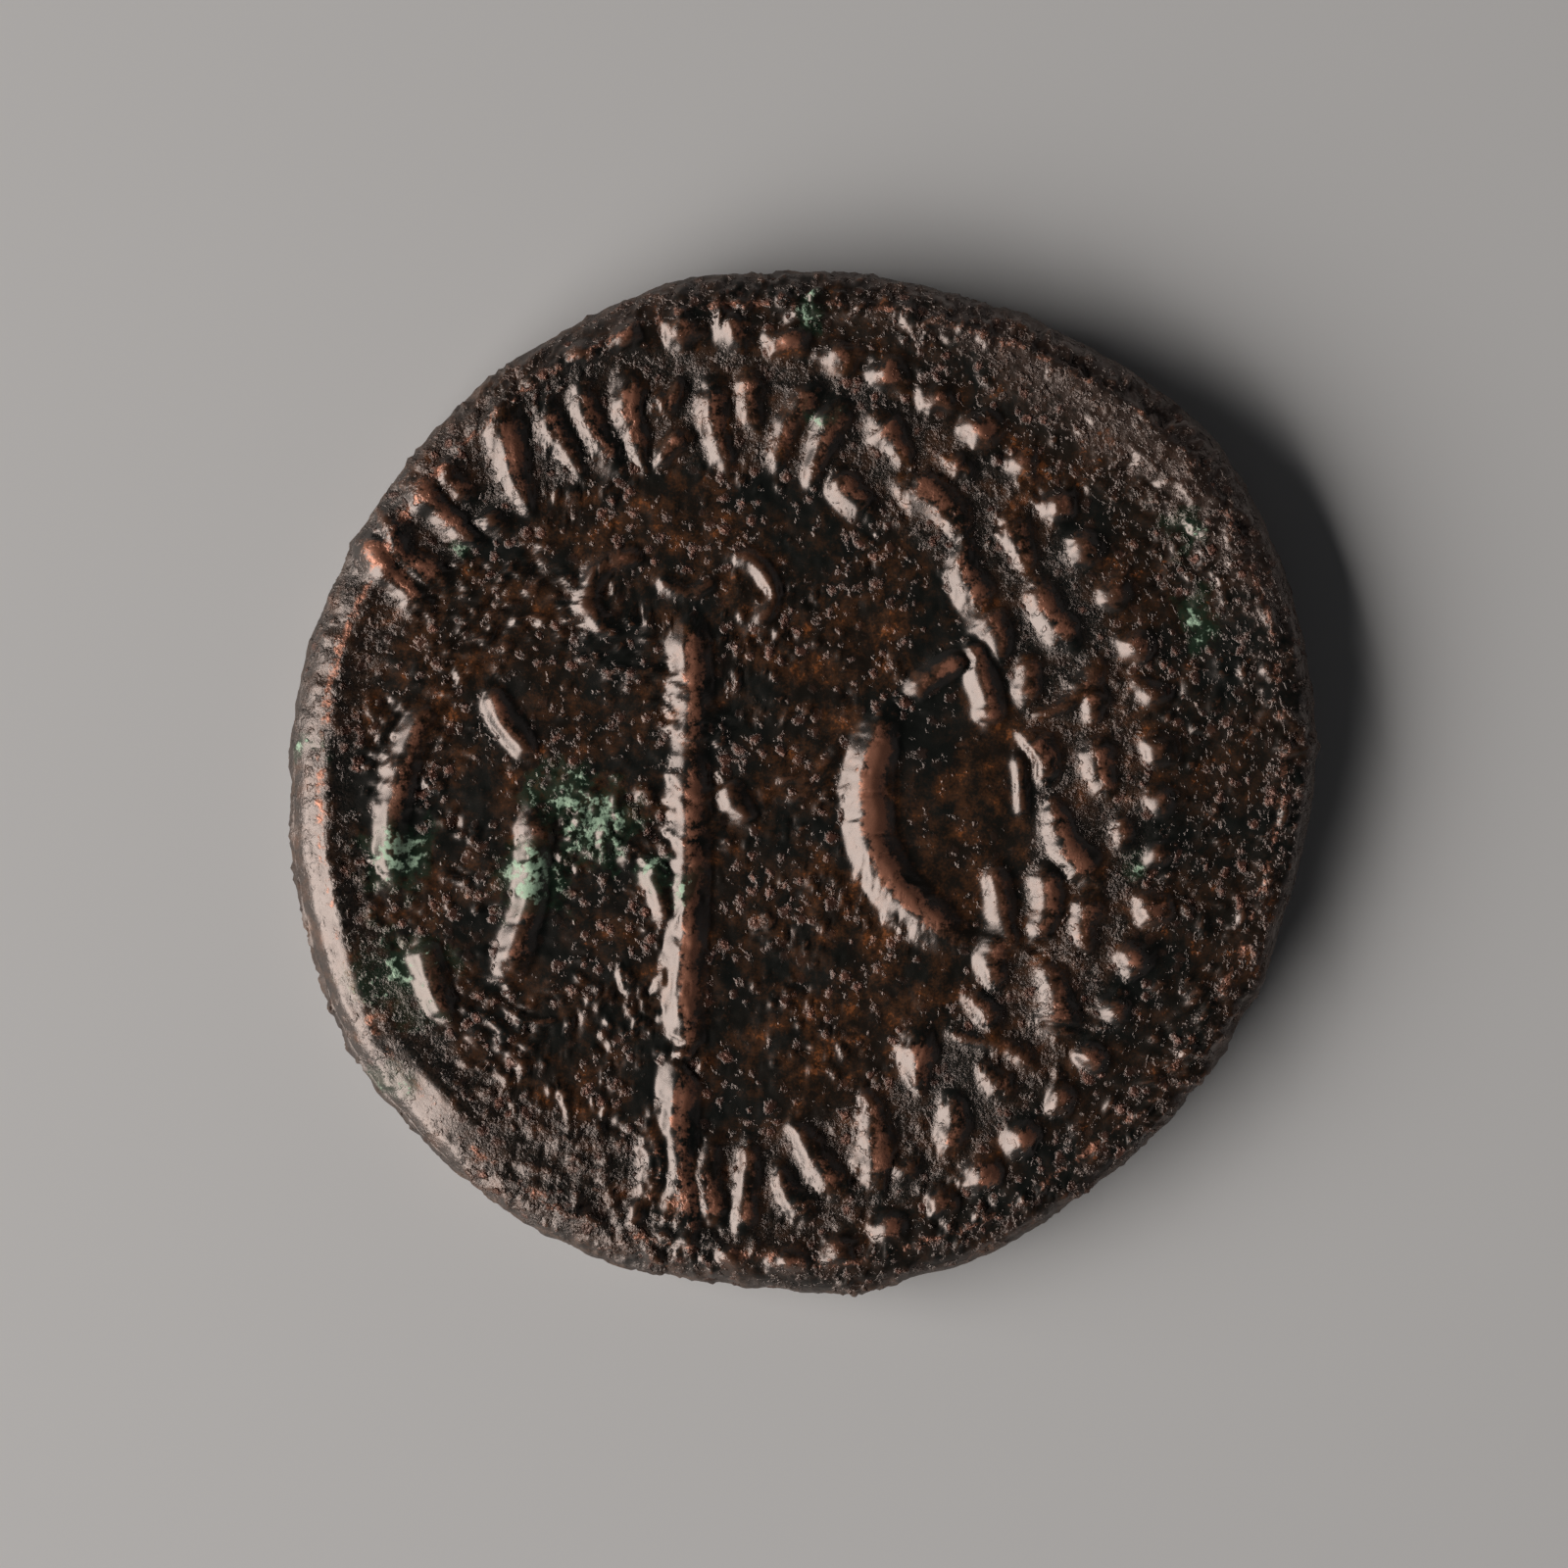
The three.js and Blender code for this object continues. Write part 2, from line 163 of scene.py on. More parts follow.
def smoothing(turn, inset):
    """How smooth the rim is: rubbed on the left bevel and on the worn facet."""
    bevel = bell(turn, BEVEL_AT, BEVEL_SPREAD * 0.6)
    bevel = bevel * np.clip((BEVEL_SMOOTH_REACH - inset) / BEVEL_SMOOTH_FADE, 0, 1)
    return np.maximum(bevel, bell(turn, FACET_AT, FACET_SPREAD) * (inset < FACET_SMOOTH_REACH))


def flan_blank():
    """The points and faces of the unstruck flan, one closed skin, and the values its points keep."""
    share, turn, upper_quads, upper_edge = disc(UPPER_CELLS)
    upper, upper_inset = face_points(share, turn, UPPER_SECTION, upper=True)
    frosted, smooth = frosting(turn, upper_inset), smoothing(turn, upper_inset)
    bearing = turn[upper_edge]
    points, insets, faces = [upper], [upper_inset], [tuple(q) for q in upper_quads]
    count = len(upper)
    ring = upper_edge
    for k, (inset, z) in enumerate(WALL_SECTION[1:-1]):
        if k == WALL_FINE_RINGS:
            bearing = bearing[::2]
        around = np.radians(bearing)
        radius = outline(bearing) - inset * MM
        ring_z = z * MM * (1 - BEVEL_SINK * bell(bearing, BEVEL_AT, BEVEL_SPREAD))
        points.append(np.stack([radius * np.cos(around), radius * np.sin(around), ring_z], 1))
        insets.append(np.full(len(bearing), inset * MM))
        below = count + np.arange(len(bearing))
        faces += wall_faces(ring, below)
        ring = below
        count += len(bearing)

    share, turn, under_quads, under_edge = disc(UNDER_CELLS)
    under, under_inset = face_points(share, turn, UNDER_SECTION)
    points.append(under)
    insets.append(under_inset)
    faces += wall_faces(ring, count + under_edge)
    faces += [tuple(q[::-1] + count) for q in under_quads]
    points, insets = np.concatenate(points), np.concatenate(insets)
    elsewhere = np.zeros(len(points) - len(upper))
    values = {"inset": insets}
    values["frosted"] = np.append(frosted, elsewhere)
    values["smooth"] = np.append(smooth, elsewhere)
    return points, faces, values


def wall_faces(above, below):
    """The faces between two rings of the wall, where the lower one may have half as many points."""
    a, b = np.roll(above, -1), np.roll(below, -1)
    if len(above) == len(below):
        return [tuple(f) for f in np.stack([above, below, b, a], 1)]
    middle, far = above[1::2], np.roll(above[::2], -1)
    faces = [tuple(f) for f in np.stack([above[::2], below, middle], 1)]
    faces += [tuple(f) for f in np.stack([middle, below, b], 1)]
    return faces + [tuple(f) for f in np.stack([middle, b, far], 1)]


def mesh_object(name, points, edges=(), faces=(), values=None):
    """An object holding a mesh of these points, with each array in values kept on its points."""
    mesh = bpy.data.meshes.new(name)
    mesh.from_pydata([tuple(p) for p in points], [tuple(e) for e in edges], faces)
    for key, numbers in (values or {}).items():
        mesh.attributes.new(key, "FLOAT", "POINT").data.foreach_set("value", np.asarray(numbers, "f"))
    mesh.update()
    made = bpy.data.objects.new(name, mesh)
    bpy.context.scene.collection.objects.link(made)
    return made


# The blank is moved to stand on the middle of its own box.
edge_turns = np.arange(0, 360, 0.5)
edge_radii = outline(edge_turns)
edge_x, edge_y = edge_radii * np.cos(np.radians(edge_turns)), edge_radii * np.sin(np.radians(edge_turns))
MIDDLE = np.array([edge_x.max() + edge_x.min(), edge_y.max() + edge_y.min(), 0]) / 2

blank_points, blank_faces, blank_values = flan_blank()
blank = mesh_object("blank", blank_points - MIDDLE, faces=blank_faces, values=blank_values)

# ---------------------------------------------------------------------------------------------
# The winged staff in the middle of the upper face, engraved in the die as one long line with a
# curled horn each side of its top, two small leaves and two thin feathers. It is broken by nicks.

STAFF = dict(half=0.64 * MM, rise=0.36 * MM, ends=0.7)
FEATHER = dict(half=0.17 * MM, rise=0.12 * MM)
LINE_STEP = 0.1 * MM
CURVE_STEPS, ARC_POINTS = 12, 13
TAPER, END_WIDTH = 0.16, 0.45  # the share of a line that tapers at each end, and how wide it ends
bold_lines, fine_lines, under_lines = [], [], []


def along(points):
    """A smooth line through a few points given in millimetres, cut into short equal steps."""
    corners = np.array(points, float) * MM
    if len(corners) > 2:
        ends = 2 * corners[[0, -1]] - corners[[1, -2]]
        p = np.concatenate([ends[:1], corners, ends[1:]])
        t = np.linspace(0, 1, CURVE_STEPS, endpoint=False)[:, None]
        spans = [
            0.5 * (2 * b + (c - a) * t + (2 * a - 5 * b + 4 * c - d) * t**2 + (3 * b - a - 3 * c + d) * t**3)
            for a, b, c, d in zip(p, p[1:], p[2:], p[3:])
        ]
        corners = np.concatenate([*spans, corners[-1:]])
    run = np.concatenate([[0], np.cumsum(np.linalg.norm(np.diff(corners, axis=0), axis=1))])
    steps = np.linspace(0, run[-1], max(3, int(run[-1] / LINE_STEP)))
    return np.stack([np.interp(steps, run, corners[:, k]) for k in (0, 1)], 1)


def stroke(lines, points, half, rise, ends=0.3, wedge=0.0):
    """Adds a raised line to a die. It narrows and sinks towards both ends, and a wedge is that share
    wider at its start and narrower at its end."""
    path = along(points)
    share = np.linspace(0, 1, len(path))
    fullness = np.clip(np.minimum(share, 1 - share) / TAPER, 0, 1)
    fullness = ends + (1 - ends) * fullness * (2 - fullness)
    widths = half * (END_WIDTH + (1 - END_WIDTH) * fullness)
    taper = 1 + wedge * (1 - 2 * share)
    lines.append((path, widths * taper, rise * fullness * (1 + taper) / 2))


def arc(centre, radius_x, radius_y, start, end):
    """Points along an arc of an ellipse, in the units of its centre."""
    turns = np.radians(np.linspace(start, end, ARC_POINTS))
    return [(centre[0] + radius_x * math.cos(t), centre[1] + radius_y * math.sin(t)) for t in turns]


stroke(bold_lines, [(-2.92, 3.95), (-2.96, 3.0), (-2.94, 1.0)], **STAFF)
stroke(bold_lines, [(-2.95, 0.82), (-2.98, -2.5), (-3.10, -5.0), (-3.10, -6.75)], **STAFF)
stroke(bold_lines, [(-3.20, -6.95), (-3.05, -7.35)], half=0.36 * MM, rise=0.30 * MM)
stroke(bold_lines, [(-3.24, -7.6), (-3.26, -9.3), (-3.02, -11.9)], **STAFF)
stroke(bold_lines, [(-2.70, -7.3), (-2.55, -7.45)], half=0.34 * MM, rise=0.2 * MM)
stroke(fine_lines, arc((-4.55, 4.9), 1.1, 1.0, 70, 250), half=0.36 * MM, rise=0.26 * MM)
stroke(fine_lines, arc((-1.75, 4.95), 0.95, 0.95, 100, -60), half=0.34 * MM, rise=0.22 * MM)
stroke(fine_lines, [(-3.9, 5.3), (-3.0, 5.0), (-2.3, 5.35)], half=0.28 * MM, rise=0.16 * MM)
stroke(fine_lines, [(-2.05, 0.0), (-1.75, -0.5), (-1.4, -1.05)], half=0.42 * MM, rise=0.26 * MM)
stroke(fine_lines, [(-3.98, -2.2), (-3.80, -2.8), (-3.62, -3.6)], half=0.40 * MM, rise=0.26 * MM)
stroke(fine_lines, [(-0.7, 0.1), (0.3, 0.3), (1.05, 0.95)], **FEATHER)
stroke(fine_lines, [(-0.4, -0.45), (0.2, -0.25), (0.7, 0.1)], **FEATHER)

# ---------------------------------------------------------------------------------------------
# The large strokes each side of the staff: two broken rings of separate cuts, the right one with
# a bold curved stroke on its left side. They are the highest lines on the coin, so they shine most.

BOLD = dict(half=0.76 * MM, rise=0.41 * MM, ends=0.3)
SLIM = dict(half=0.52 * MM, rise=0.31 * MM)
NARROW = dict(half=0.44 * MM, rise=0.30 * MM)
RIGHT_RING, LEFT_RING = (5.1, -0.4), (-8.85, -1.6)

stroke(bold_lines, arc(RIGHT_RING, 3.4, 3.8, 146, 254), **BOLD)
stroke(bold_lines, arc(RIGHT_RING, 3.2, 3.8, 104, 135), **NARROW)
stroke(bold_lines, [(4.5, 3.7), (4.8, 2.6), (4.95, 1.5)], **SLIM)
stroke(fine_lines, [(5.65, 0.75), (5.8, -0.1), (5.75, -0.9)], half=0.25 * MM, rise=0.16 * MM)
stroke(bold_lines, [(5.1, -2.2), (5.25, -3.3), (5.5, -4.4)], **NARROW)
stroke(bold_lines, arc(LEFT_RING, 1.95, 4.0, 118, 194), **SLIM)
stroke(bold_lines, [(-8.3, 2.35), (-7.75, 1.55), (-7.15, 0.7)], **NARROW)
stroke(bold_lines, arc(LEFT_RING, 1.8, 4.0, -62, 14), **SLIM)
stroke(bold_lines, [(-10.0, -4.2), (-9.75, -5.15), (-9.4, -6.1)], **SLIM)

# ---------------------------------------------------------------------------------------------
# The ring of strokes round the design, where the coin's legend stood: cells of one to three cuts
# that lean, bow or lie across and never touch. It runs from the upper left clockwise to the foot.

DIE_X, DIE_Y = -2.85, -0.5  # the dies' middle, in millimetres: the coin was struck off its centre
LEGEND_INNER, LEGEND_OUTER = 8.95, 11.2
LEGEND_FROM, LEGEND_TO = 146, -101
STROKE_HALF, STROKE_RISE = 0.53 * MM, 0.32 * MM
CELLS = (  # each cut's ends, across its cell from -1 to 1 and out from 0 to 1, and its size
    ((-0.75, 0.0, -0.35, 1.0, 1.0), (0.25, 0.0, 0.65, 1.0, 0.9)),
    ((-0.5, 1.0, -0.2, 0.0, 1.0), (0.55, 0.95, 0.6, 0.5, 0.8), (0.4, 0.15, 0.85, 0.0, 0.8)),
    ((-0.35, 0.0, 0.35, 1.0, 1.1),),
    ((-0.8, 0.9, -0.45, 0.05, 0.9), (0.3, 1.0, 0.75, 0.1, 1.0)),
    ((-0.6, 0.0, -0.75, 0.95, 1.0), (-0.05, 0.05, 0.75, 0.3, 0.8), (0.0, 0.65, 0.7, 0.95, 0.8)),
    ((-0.65, 0.85, 0.0, 0.0, 1.0), (0.35, 1.0, 0.8, 0.45, 0.9)),
    ((-0.7, 0.1, -0.15, 1.0, 0.9), (0.6, 0.0, 0.6, 0.9, 1.0)),
)
SIDE_CELLS = (  # the same for the right side, where most cuts lie across their cells
    ((-0.95, 0.05, 0.75, 0.0, 0.95), (-0.8, 0.60, 0.9, 0.95, 1.1)),
    ((0.60, 0.10, -0.30, 1.0, 0.65), (-0.95, 0.35, -0.35, 0.0, 0.9), (0.45, 0.95, 1.0, 0.65, 0.85)),
    ((-0.9, 0.0, 0.5, 0.20, 1.05), (-0.5, 0.80, 0.95, 0.85, 1.0)),
    ((-0.85, 0.15, 0.85, 0.80, 1.2), (-0.7, 1.0, -0.1, 1.05, 0.8)),
    ((-0.8, 0.55, 0.75, 0.0, 1.05), (-0.5, 1.0, 0.9, 0.75, 0.95)),
)
SIDE_HALF_TURN = 62
UPRIGHT, UPRIGHT_SHARE = -72, 0.65  # the larger cuts there turn that much towards this bearing
UPRIGHT_SIZE = 0.8
CELL_COUNT = 22
CELL_FILL = 0.42  # the share of the ring's pitch that a cell takes on each side of its middle
EDGE_GAP = 1.2 * MM  # a cut nearer to the flan's edge than this wasn't struck
BOW, WEDGE = 0.13, 0.4  # the most that a cut bends and widens


def polar(radius, turn):
    """The point that far out at that bearing, in degrees."""
    return np.array([radius * math.cos(math.radians(turn)), radius * math.sin(math.radians(turn))])


cell_pitch = (LEGEND_TO - LEGEND_FROM) / CELL_COUNT
for i in range(CELL_COUNT):
    cells = SIDE_CELLS if abs(LEGEND_FROM + cell_pitch * (i + 0.5)) < SIDE_HALF_TURN else CELLS
    for k, (across, out, to_across, to_out, size) in enumerate(cells[i % len(cells)]):
        ends = []
        for sideways, share in ((across, out), (to_across, to_out)):
            turn = LEGEND_FROM + cell_pitch * (i + 0.5 + CELL_FILL * sideways)
            ends.append(polar(LEGEND_INNER + share * (LEGEND_OUTER - LEGEND_INNER), turn) + (DIE_X, DIE_Y))
        middle, span = (ends[0] + ends[1]) / 2, ends[1] - ends[0]
        if cells is SIDE_CELLS and size > UPRIGHT_SIZE:
            turn = math.degrees(math.atan2(span[1], span[0]))
            turn += UPRIGHT_SHARE * ((UPRIGHT - turn + 90) % 180 - 90)
            span = polar(np.hypot(*span), turn)
            ends = [middle - span / 2, middle + span / 2]
        bearing = math.degrees(math.atan2(middle[1], middle[0]))
        if np.hypot(*middle) * MM < outline(bearing) - EDGE_GAP:
            bowed = middle + BOW * math.sin(3.3 * i + 2 * k) * np.array([-span[1], span[0]])
            half, rise = size * STROKE_HALF, (0.4 + 0.6 * size) * STROKE_RISE
            wedge = WEDGE * math.sin(2.7 * i + 1.6 * k)
            stroke(fine_lines, [ends[0], bowed, ends[1]], half, rise, ends=0.6, wedge=wedge)

# ---------------------------------------------------------------------------------------------
# The under face is struck by the other die in the same blow, off centre too, and is plainer: a
# border of beads, a ring of short strokes and a wreath of two laurel branches, all in low relief.

UNDER_X, UNDER_Y = 0.55, -0.4
UNDER_RISE = 0.19 * MM
UNDER_STROKES, UNDER_STROKE_INNER, UNDER_STROKE_OUTER = 38, 8.6, 10.1
UNDER_STROKE_HALF, LEAF_HALF = 0.3 * MM, 0.42 * MM
UNDER_LEAN = 2.6  # how far each stroke leans round the ring, in degrees
WREATH_RADIUS, WREATH_FROM, WREATH_TO, WREATH_PAIRS = 6.2, -70, 66, 8
LEAF, LEAF_SPREAD, LEAF_GAP = 1.9, 26, 0.42

for i in range(UNDER_STROKES):
    turn = 360 * i / UNDER_STROKES
    start = polar(UNDER_STROKE_INNER + 0.3 * math.sin(2.1 * i), turn) + (UNDER_X, UNDER_Y)
    end = polar(UNDER_STROKE_OUTER, turn + UNDER_LEAN + 1.4 * math.sin(1.7 * i)) + (UNDER_X, UNDER_Y)
    stroke(under_lines, [start, end], half=UNDER_STROKE_HALF, rise=UNDER_RISE, ends=0.6)
for hand in (1, -1):
    for turn in np.linspace(WREATH_FROM, WREATH_TO, WREATH_PAIRS):
        for side in (-1, 1):
            start = polar(WREATH_RADIUS, turn) + polar(LEAF_GAP * side, turn)
            tip = start + polar(LEAF, turn + 90 - LEAF_SPREAD * side)
            leaf = [(hand * x + UNDER_X, -y + UNDER_Y) for x, y in (start, (start + tip) / 2, tip)]
            stroke(under_lines, leaf, half=LEAF_HALF, rise=UNDER_RISE)

# ---------------------------------------------------------------------------------------------
# Striking: the dies press their lines and their ring of beads into the flan, and then centuries in
# the ground lift and pit the skin. The nodes raise the blank and keep, for the patina, how high each
# point was struck, how much it stands proud of its neighbours and where verdigris has grown.

VERDIGRIS = (  # where each patch of verdigris is and how far it reaches, in millimetres
    (-5.5, -1.1, 1.5), (-6.4, -0.3, 0.9), (-7.0, -2.6, 1.1), (-10.6, -1.9, 1.0), (-10.7, -5.0, 1.3),
    (-3.1, -2.9, 0.6), (0.3, 12.3, 0.45), (0.4, 9.5, 0.4), (10.1, 6.7, 0.75), (10.3, 4.4, 0.6),
    (8.7, -2.2, 0.45), (-13.0, 1.1, 0.4), (-10.8, -7.7, 0.6), (-9.0, 5.9, 0.35), (-4.0, -2.5, 0.6),
)
FLAT_CREST = 0.16  # the share of a line's half width that is worn flat along its crest
LINE_SOFTNESS, BEAD_SOFTNESS = 0.10, 0.3  # how round their tops are
RELIEF_UNIT = 0.3 * MM  # the struck height that the patina reads as 1
CREST_UNIT = 0.05 * MM  # the height above its neighbours that the patina reads as 1


class Flow:
    """A socket of a node tree. Sums written with it add Math nodes to that tree."""

    def __init__(self, tree, socket=None):
        self.tree = tree
        self.socket = socket

    def node(self, kind, settings=None, inputs=None, output=0):
        """Adds one node: its settings first, then the values or links of its sockets."""
        made = self.tree.nodes.new(kind)
        for name, value in (settings or {}).items():
            setattr(made, name, value)
        for name, value in (inputs or {}).items():
            if isinstance(value, Flow):
                self.tree.links.new(value.socket, made.inputs[name])
            else:
                made.inputs[name].default_value = value
        return Flow(self.tree, made.outputs[output])

    def maths(self, operation, *others):
        return self.node("ShaderNodeMath", {"operation": operation}, dict(enumerate((self, *others))))

    def __add__(self, other):
        return self.maths("ADD", other)

    def __sub__(self, other):
        return self.maths("SUBTRACT", other)

    def __rsub__(self, other):
        return self.node("ShaderNodeMath", {"operation": "SUBTRACT"}, {0: other, 1: self})

    def __mul__(self, other):
        return self.maths("MULTIPLY", other)

    def __truediv__(self, other):
        return self.maths("DIVIDE", other)

    __radd__ = __add__
    __rmul__ = __mul__

    def larger(self, other):
        return self.maths("MAXIMUM", other)

    def between(self, low, high):
        """0 below low, 1 above high, and a smooth step from one to the other."""
        ends = {"Value": self, "From Min": low, "From Max": high}
        return self.node("ShaderNodeMapRange", {"interpolation_type": "SMOOTHSTEP"}, ends)

    def vector(self, operation, *others, output=0):
        inputs = dict(enumerate((self, *others)))
        return self.node("ShaderNodeVectorMath", {"operation": operation}, inputs, output)

    def scaled(self, by):
        return self.node("ShaderNodeVectorMath", {"operation": "SCALE"}, {0: self, "Scale": by})

    def part(self, axis):
        return self.node("ShaderNodeSeparateXYZ", None, {0: self}, axis)

    def noise(self, scale, detail=2.0, roughness=0.5, output=0):
        inputs = {"Vector": self, "Scale": scale, "Detail": detail, "Roughness": roughness}
        return self.node("ShaderNodeTexNoise", None, inputs, output)

    def drift(self, scale, detail):
        """A noise that points any way, up to half a unit long on each axis."""
        return self.noise(scale, detail, output="Color").vector("SUBTRACT", (0.5, 0.5, 0.5))


def dragged_noise(place, round_scale, out_scale):
    """A noise round the coin's middle, at one scale along the rim and another outwards from it."""
    flat = place.vector("MULTIPLY", (1, 1, 0))
    around = flat.vector("NORMALIZE").vector("MULTIPLY", (round_scale * FLAN_RADIUS / MM,) * 3)
    out = flat.vector("LENGTH", output="Value") * out_scale
    return around.vector("ADD", around.node("ShaderNodeCombineXYZ", None, {2: out})).noise(1.0)


def die_object(name, lines):
    """A die's raised lines as chains of edges, each point keeping its half width and its rise."""
    points, edges, halves, rises = [], [], [], []
    for path, half, rise in lines:
        first = len(points)
        points += [(x, y, 0) for x, y in path]
        edges += [(first + i, first + i + 1) for i in range(len(path) - 1)]
        halves += list(half)
        rises += list(rise)
    return mesh_object(name, points, edges=edges, values={"half": halves, "rise": rises})


def held(start, key):
    """A value that the points hold under that name."""
    return start.node("GeometryNodeInputNamedAttribute", {"data_type": "FLOAT"}, {"Name": key})


def nearest(start, geometry, place, key):
    """The value that the nearest point of a geometry holds."""
    index = start.node("GeometryNodeSampleNearest", None, {"Geometry": geometry, "Sample Position": place})
    inputs = {"Geometry": geometry, "Value": held(start, key), "Index": index}
    return start.node("GeometryNodeSampleIndex", {"data_type": "FLOAT"}, inputs)


def distance(start, geometry, place, element):
    inputs = {"Geometry": geometry, "Sample Position": place}
    return start.node("GeometryNodeProximity", {"target_element": element}, inputs, "Distance")


def roof(share, softness):
    """A ridge's height from 1 at its crest to 0 at its foot, with straight flanks and a round top."""
    foot = math.sqrt(1 + softness**2)
    curve = foot - (share * share + softness**2).maths("SQRT")
    return (curve / (foot - softness)).larger(0.0)


def lines_height(start, die, place):
    """How high a die's lines raise the metal at each place."""
    geometry = start.node("GeometryNodeObjectInfo", None, {"Object": die}, "Geometry")
    share = distance(start, geometry, place, "EDGES") / nearest(start, geometry, place, "half")
    flank = ((share - FLAT_CREST) / (1 - FLAT_CREST)).larger(0.0)
    return roof(flank, LINE_SOFTNESS) * nearest(start, geometry, place, "rise")


def beads_height(start, place, centre, sizes):
    """How high a ring of uneven beads raises the metal at each place."""
    circle = {"Vertices": sizes["count"], "Radius": sizes["radius"]}
    ring = start.node("GeometryNodeMeshCircle", None, circle)
    ring = start.node("GeometryNodeTransform", None, {"Geometry": ring, "Translation": centre})
    in_mm = place.vector("MULTIPLY", (1 / MM,) * 3)
    uneven = 0.4 + 1.2 * in_mm.noise(0.8, detail=1.0)
    ragged = 0.4 + 1.2 * in_mm.noise(1.8, detail=3.0)
    share = distance(start, ring, place, "POINTS") / (sizes["half"] * uneven * ragged)
    return roof(share, BEAD_SOFTNESS) * sizes["rise"] * uneven


verdigris_spots = mesh_object(
    "verdigris_spots",
    [(x * MM, y * MM, 0) for x, y, _ in VERDIGRIS],
    values={"reach": [reach * MM for *_, reach in VERDIGRIS]},
)
STRIKE_INPUTS = (
    ("Blank", "NodeSocketGeometry", None),
    ("Bold die", "NodeSocketObject", die_object("bold_die", bold_lines)),
    ("Fine die", "NodeSocketObject", die_object("fine_die", fine_lines)),
    ("Under die", "NodeSocketObject", die_object("under_die", under_lines)),
    ("Verdigris spots", "NodeSocketObject", verdigris_spots),
    ("Die centre", "NodeSocketVector", (DIE_X * MM, DIE_Y * MM, 0)),
    ("Under die centre", "NodeSocketVector", (UNDER_X * MM, UNDER_Y * MM, 0)),
    ("Bead ring radius", "NodeSocketFloat", 12.35 * MM),
    ("Under bead ring radius", "NodeSocketFloat", 11.1 * MM),
    ("Bead count", "NodeSocketInt", 55),
    ("Under bead count", "NodeSocketInt", 44),
    ("Bead half width", "NodeSocketFloat", 0.58 * MM),
    ("Bead rise", "NodeSocketFloat", 0.36 * MM),
    # Painted light: this shift moves the copper onto each line's flank away from the lamp, as a glow.
    ("Copper shift from lamp", "NodeSocketVector", (0.11 * MM, 0.02 * MM, 0)),
    ("Wander", "NodeSocketFloat", 0.14 * MM),
    ("Lump height", "NodeSocketFloat", 0.14 * MM),
    ("Grain height", "NodeSocketFloat", 0.07 * MM),
    ("Granule height", "NodeSocketFloat", 0.10 * MM),
    ("Pit depth", "NodeSocketFloat", 0.10 * MM),
    ("Flow height", "NodeSocketFloat", 0.30 * MM),
    ("Layer height", "NodeSocketFloat", 0.30 * MM),
    ("Smooth centre", "NodeSocketVector", (RIGHT_RING[0] * MM, RIGHT_RING[1] * MM, 0)),
    ("Smooth reach", "NodeSocketFloat", 3.1 * MM),
    ("Verdigris growth", "NodeSocketFloat", 0.10 * MM),
    ("Crack share", "NodeSocketFloat", 0.22),
    ("Seed", "NodeSocketFloat", 7.0),
)


